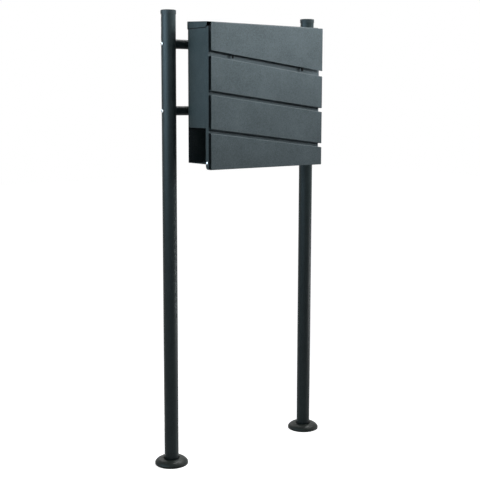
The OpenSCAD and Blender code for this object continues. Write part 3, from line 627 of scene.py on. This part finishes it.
class LETTERBOX_OT_stage(bpy.types.Operator):
    """Floor, lights and camera"""

    bl_idname = "letterbox.stage"
    bl_label = "Stage"

    def execute(self, context):
        stage = context.scene.letterbox_stage
        self.make_floor(stage)
        self.make_world(context.scene, stage)
        key = self.make_softbox("key", stage.key_power)
        # The key lies close to the posts' mirror direction and would draw a hard streak down their fronts.
        key.visible_glossy = False
        self.make_softbox("side", stage.side_power, stage.side_tint)
        self.make_softbox("top", stage.top_power)
        self.make_softbox("back", stage.back_power)
        strip = self.make_softbox("strip", stage.strip_power, stage.strip_tint)
        low = self.make_softbox("low", stage.low_power)
        over = self.make_softbox("over", stage.over_power)
        # These give the sheen on the posts and the foot covers, and would otherwise flood the box.
        for lamp in (strip, low, over):
            lamp.visible_diffuse = False
        self.make_camera(context.scene, stage)
        return {"FINISHED"}

    def seen_directly(self, tree):
        """1 for rays that should meet the white surroundings, 0 for light that falls on the object."""
        path = add_node(tree, "ShaderNodeLightPath", {}, {})
        seen = add_node(
            tree, "ShaderNodeMath", {"operation": "MAXIMUM"},
            {0: path.outputs["Is Camera Ray"], 1: path.outputs["Is Glossy Ray"]},
        ).outputs[0]
        return add_node(
            tree, "ShaderNodeMath", {"operation": "MAXIMUM"},
            {0: seen, 1: path.outputs["Is Transmission Ray"]},
        ).outputs[0]

    def make_floor(self, stage):
        """A plain floor that keeps the object's shadow."""
        # Matt studio paint: pale grey where light falls on it, and white to the eye like a lit backdrop,
        # a touch less white round the feet.
        shape = bmesh.new()
        bmesh.ops.create_grid(shape, x_segments=1, y_segments=1, size=FLOOR_HALF)
        mesh = bpy.data.meshes.new("floor")
        shape.to_mesh(mesh)
        shape.free()
        made, tree, place = new_material("pale_studio_floor")
        mesh.materials.append(made)
        diffuse = add_node(tree, "ShaderNodeBsdfDiffuse", {}, {"Color": opaque(stage.floor)}).outputs[0]
        seen = self.seen_directly(tree)
        away = add_node(tree, "ShaderNodeVectorMath", {"operation": "LENGTH"}, {0: place}).outputs["Value"]
        white = add_node(
            tree, "ShaderNodeMapRange", {},
            {"Value": away, "From Min": GLOW_NEAR, "From Max": GLOW_FAR, "To Min": stage.floor_glow},
        ).outputs["Result"]
        strength = add_node(
            tree, "ShaderNodeMath", {"operation": "MULTIPLY"}, {0: seen, 1: white}
        ).outputs[0]
        glow = add_node(tree, "ShaderNodeEmission", {}, {"Strength": strength}).outputs[0]
        both = add_node(tree, "ShaderNodeAddShader", {}, {0: diffuse, 1: glow}).outputs[0]
        add_node(tree, "ShaderNodeOutputMaterial", {}, {"Surface": both})
        floor = bpy.data.objects.new("floor", mesh)
        bpy.context.scene.collection.objects.link(floor)

    def make_world(self, scene, stage):
        """White surroundings that throw only a weak even light."""
        world = bpy.data.worlds.new("white_studio")
        world.use_nodes = True
        tree = world.node_tree
        tree.nodes.clear()
        fill = add_node(
            tree, "ShaderNodeBackground", {}, {"Color": opaque(stage.fill_tint), "Strength": stage.fill}
        ).outputs[0]
        white = add_node(
            tree, "ShaderNodeBackground", {}, {"Color": (1, 1, 1, 1), "Strength": 1}
        ).outputs[0]
        mix = add_node(
            tree, "ShaderNodeMixShader", {}, {0: self.seen_directly(tree), 1: fill, 2: white}
        ).outputs[0]
        add_node(tree, "ShaderNodeOutputWorld", {}, {"Surface": mix})
        scene.world = world

    def make_softbox(self, name, power, tint=(1, 1, 1)):
        """An area light that the camera doesn't see."""
        place, target, width, height, spread = SOFTBOXES[name]
        data = bpy.data.lights.new(name + "_softbox", "AREA")
        data.shape = "RECTANGLE"
        data.size = width
        data.size_y = height
        data.spread = math.radians(spread)
        data.energy = power
        data.color = tint
        lamp = bpy.data.objects.new(data.name, data)
        lamp.location = place
        lamp.rotation_euler = (Vector(target) - Vector(place)).to_track_quat("-Z", "Y").to_euler()
        lamp.visible_camera = False
        bpy.context.scene.collection.objects.link(lamp)
        return lamp

    def make_camera(self, scene, stage):
        """The camera at the photo's place, and plain colours on the screen."""
        data = bpy.data.cameras.new("camera")
        data.lens = stage.lens
        data.shift_y = stage.shift
        camera = bpy.data.objects.new("camera", data)
        flat = math.cos(stage.dip)
        ahead = Vector((math.sin(stage.turn) * flat, math.cos(stage.turn) * flat, -math.sin(stage.dip)))
        camera.location = stage.eye
        level = ahead.to_track_quat("-Z", "Y")
        camera.rotation_euler = (level @ Quaternion((0, 0, 1), stage.roll)).to_euler()
        scene.collection.objects.link(camera)
        scene.camera = camera
        scene.view_settings.view_transform = "Standard"


class LETTERBOX_OT_posts(bpy.types.Operator):
    """Coat the two posts"""

    bl_idname = "letterbox.posts"
    bl_label = "Posts"

    def execute(self, context):
        for name in ("left_post", "right_post"):
            coat_node(name, stand_coat())
        return {"FINISHED"}


class LETTERBOX_OT_post_caps(bpy.types.Operator):
    """Finish the caps on top of the posts"""

    bl_idname = "letterbox.post_caps"
    bl_label = "Post caps"

    def execute(self, context):
        for name in ("left_post_cap", "right_post_cap"):
            coat_node(name, moulded_plastic())
        return {"FINISHED"}


class LETTERBOX_OT_feet(bpy.types.Operator):
    """Finish foot plates and foot covers, and lay the weld beads round the posts"""

    bl_idname = "letterbox.feet"
    bl_label = "Feet"

    def execute(self, context):
        sizes = context.scene.letterbox_sizes
        for side in ("left", "right"):
            plate = side + "_foot_plate"
            coat_node(plate, stand_coat())
            # The covers' darker, greyer coat is painted shade for the dim light near the floor.
            coat_node(side + "_foot_cover", shaded_cover_coat())
            low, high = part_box(plate)
            centre = (Vector(low) + Vector(high)) / 2
            centre.z = sizes.plate_height
            shape = bmesh.new()
            weld_bead(shape, centre)
            shade_smooth(shape)
            put_in_scene(side + "_weld_bead", shape, stand_coat(), STAND)
        return {"FINISHED"}


class LETTERBOX_OT_crossbars(bpy.types.Operator):
    """Coat the crossbars and finish their threaded inserts"""

    bl_idname = "letterbox.crossbars"
    bl_label = "Crossbars"

    def execute(self, context):
        for name in ("upper_crossbar", "lower_crossbar"):
            coat_node(name, stand_coat())
        coat_node("crossbar_inserts", zinc_plating())
        return {"FINISHED"}


class LETTERBOX_OT_fasteners(bpy.types.Operator):
    """Make the bolts with hex sockets, and finish nuts and spacers"""

    bl_idname = "letterbox.fasteners"
    bl_label = "Fasteners"

    def execute(self, context):
        sizes = context.scene.letterbox_sizes
        low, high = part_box("crossbar_bolts")
        inset = (high[1] - low[1]) / 2
        heights = (low[2] + inset, high[2] - inset)
        heads = ((low[0], (-1, 0, 0)), (high[0], (1, 0, 0)))
        places = [((x, low[1] + inset, z), ahead) for z in heights for x, ahead in heads]
        self.make_bolts("crossbar_bolts", places, sizes.bolt_length)
        low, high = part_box("housing_bolts")
        sides = (low[0] + inset, high[0] - inset)
        places = [((x, low[1], z), (0, -1, 0)) for z in heights for x in sides]
        self.make_bolts("housing_bolts", places, high[1] - low[1])
        coat_node("housing_nuts", stainless_steel())
        coat_node("housing_spacers", moulded_plastic())
        return {"FINISHED"}

    def make_bolts(self, name, places, length):
        """Like bolts as one piece, in place of a CAD node."""
        shape = bmesh.new()
        socket_bolt(shape, length)
        put_copies(shape, places)
        shade_smooth(shape)
        piece = put_in_scene(name + ".socketed", shape, stainless_steel(), STAND)
        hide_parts(name)


class LETTERBOX_OT_housing(bpy.types.Operator):
    """Coat the housing's sheets, lay the lid's seal as a black strip that paints the shadow line under the
    lid's flanges, and finish the hinge pins
    """

    bl_idname = "letterbox.housing"
    bl_label = "Housing"

    def execute(self, context):
        edge = context.scene.letterbox_sizes.sheet_edge
        for name in ("housing_shell", "lid", "letter_shelf", "newspaper_floor"):
            soften(name, box_coat(), edge)
        coat_node("door_hinge_pins", stainless_steel())
        self.make_shade_strip(context.scene.letterbox_sizes)
        return {"FINISHED"}

    def make_shade_strip(self, sizes):
        """A black rubber strip round the shell's sides and back, under the lid's flanges, that paints the
        shadow line below them.
        """
        low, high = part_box("housing_shell")
        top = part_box("lid")[0][2]
        left, right, front, back = low[0], high[0], low[1], high[1]
        out = sizes.shade_strip_width
        outline = (
            (left - out, front), (left - out, back + out), (right + out, back + out), (right + out, front),
            (right, front), (right, back), (left, back), (left, front),
        )
        shape = bmesh.new()
        face = shape.faces.new([shape.verts.new((x, y, top)) for x, y in outline])
        made = bmesh.ops.extrude_face_region(shape, geom=[face])["geom"]
        lower = [v for v in made if isinstance(v, bmesh.types.BMVert)]
        bmesh.ops.translate(shape, vec=(0, 0, -sizes.shade_strip_height), verts=lower)
        bmesh.ops.bevel(
            shape, geom=shape.edges[:], offset=SHADE_STRIP_EDGE, segments=EDGE_STEPS, profile=0.5,
            affect="EDGES", material=-1,
        )
        shade_smooth(shape)
        put_in_scene("lid_shade_strip", shape, moulded_rubber(), STAND)


class LETTERBOX_OT_door(bpy.types.Operator):
    """Coat the door plate, its slats and their rivets"""

    bl_idname = "letterbox.door"
    bl_label = "Door"

    def execute(self, context):
        edge = context.scene.letterbox_sizes.sheet_edge
        for name in ("door_plate", "upper_slat", "middle_slat", "lower_slat"):
            soften(name, box_coat(), edge)
        coat_node("slat_rivets", box_coat())
        return {"FINISHED"}


class LETTERBOX_OT_flap(bpy.types.Operator):
    """Coat the letter flap, weld its corners, finish its hinge and make its buffers"""

    bl_idname = "letterbox.flap"
    bl_label = "Letter flap"

    def execute(self, context):
        sizes = context.scene.letterbox_sizes
        soften("letter_flap", box_coat(), sizes.sheet_edge)
        self.weld_corners(sizes)
        for name in ("flap_hinge_ears", "flap_hinge_brackets", "flap_hinge_rod", "hinge_rod_caps"):
            coat_node(name, zinc_plating())
        self.make_buffers()
        return {"FINISHED"}

    def weld_corners(self, sizes):
        """Ground welds that close the slits beside the flap's folded edge."""
        low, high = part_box("letter_flap")
        size = (sizes.corner_slit + 2 * FLUSH, sizes.flap_sheet - 2 * FLUSH, sizes.corner_height)
        depth = low[1] + sizes.flap_sheet / 2
        height = high[2] - sizes.corner_height / 2 - FLUSH
        out = high[0] - sizes.corner_inset - sizes.corner_slit / 2
        shape = bmesh.new()
        for x in (-out, out):
            place = Matrix.Translation((x, depth, height)) @ Matrix.Diagonal((*size, 1))
            bmesh.ops.create_cube(shape, size=1, matrix=place)
        put_in_scene("flap_corner_welds", shape, box_coat(), "flap")

    def make_buffers(self):
        """Two pads on stems, in the places of the CAD node's buffers."""
        low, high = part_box("flap_buffers")
        points = [v.co for v in frame["nodes"]["flap_buffers"].data.vertices]
        places = []
        for side in (-1, 1):
            own = [p for p in points if p.x * side > 0]
            x = (min(p.x for p in own) + max(p.x for p in own)) / 2
            z = (min(p.z for p in own) + max(p.z for p in own)) / 2
            places.append(((x, low[1], z), (0, -1, 0)))
        shape = bmesh.new()
        buffer_pad(shape, high[1] - low[1])
        put_copies(shape, places)
        shade_smooth(shape)
        piece = put_in_scene("flap_buffers.stemmed", shape, moulded_rubber(), "door")
        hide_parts("flap_buffers")


class LETTERBOX_OT_lock(bpy.types.Operator):
    """Finish the cam lock"""

    bl_idname = "letterbox.lock"
    bl_label = "Lock"

    def execute(self, context):
        for name in ("lock_body", "lock_plug"):
            coat_node(name, nickel_plating())
        for name in ("lock_nut", "lock_cam", "lock_cam_screw"):
            coat_node(name, zinc_plating())
        return {"FINISHED"}


OPERATORS = (
    LETTERBOX_OT_stage,
    LETTERBOX_OT_posts,
    LETTERBOX_OT_post_caps,
    LETTERBOX_OT_feet,
    LETTERBOX_OT_crossbars,
    LETTERBOX_OT_fasteners,
    LETTERBOX_OT_housing,
    LETTERBOX_OT_door,
    LETTERBOX_OT_flap,
    LETTERBOX_OT_lock,
)
GROUPS = {
    "letterbox_finishes": LetterboxFinishes,
    "letterbox_sizes": LetterboxSizes,
    "letterbox_stage": LetterboxStage,
}


class LETTERBOX_PT_panel(bpy.types.Panel):
    """Lists the steps and the values they use"""

    bl_idname = "LETTERBOX_PT_panel"
    bl_label = "Letterbox"
    bl_space_type = "VIEW_3D"
    bl_region_type = "UI"
    bl_category = "Letterbox"

    def draw(self, context):
        for step in OPERATORS:
            self.layout.operator(step.bl_idname)
        for name, group in GROUPS.items():
            box = self.layout.box()
            for value in group.__annotations__:
                box.prop(getattr(context.scene, name), value)


CLASSES = (*GROUPS.values(), *OPERATORS, LETTERBOX_PT_panel)


def register():
    """Adds the classes and the scene's values."""
    for made in CLASSES:
        bpy.utils.register_class(made)
    for name, group in GROUPS.items():
        setattr(bpy.types.Scene, name, PointerProperty(type=group))


def unregister():
    """Removes the scene's values and the classes."""
    for name in GROUPS:
        delattr(bpy.types.Scene, name)
    for made in reversed(CLASSES):
        bpy.utils.unregister_class(made)


def main():
    """Runs every step in order."""
    register()
    for step in OPERATORS:
        family, _, action = step.bl_idname.partition(".")
        getattr(getattr(bpy.ops, family), action)()


if __name__ == "__main__":
    main()
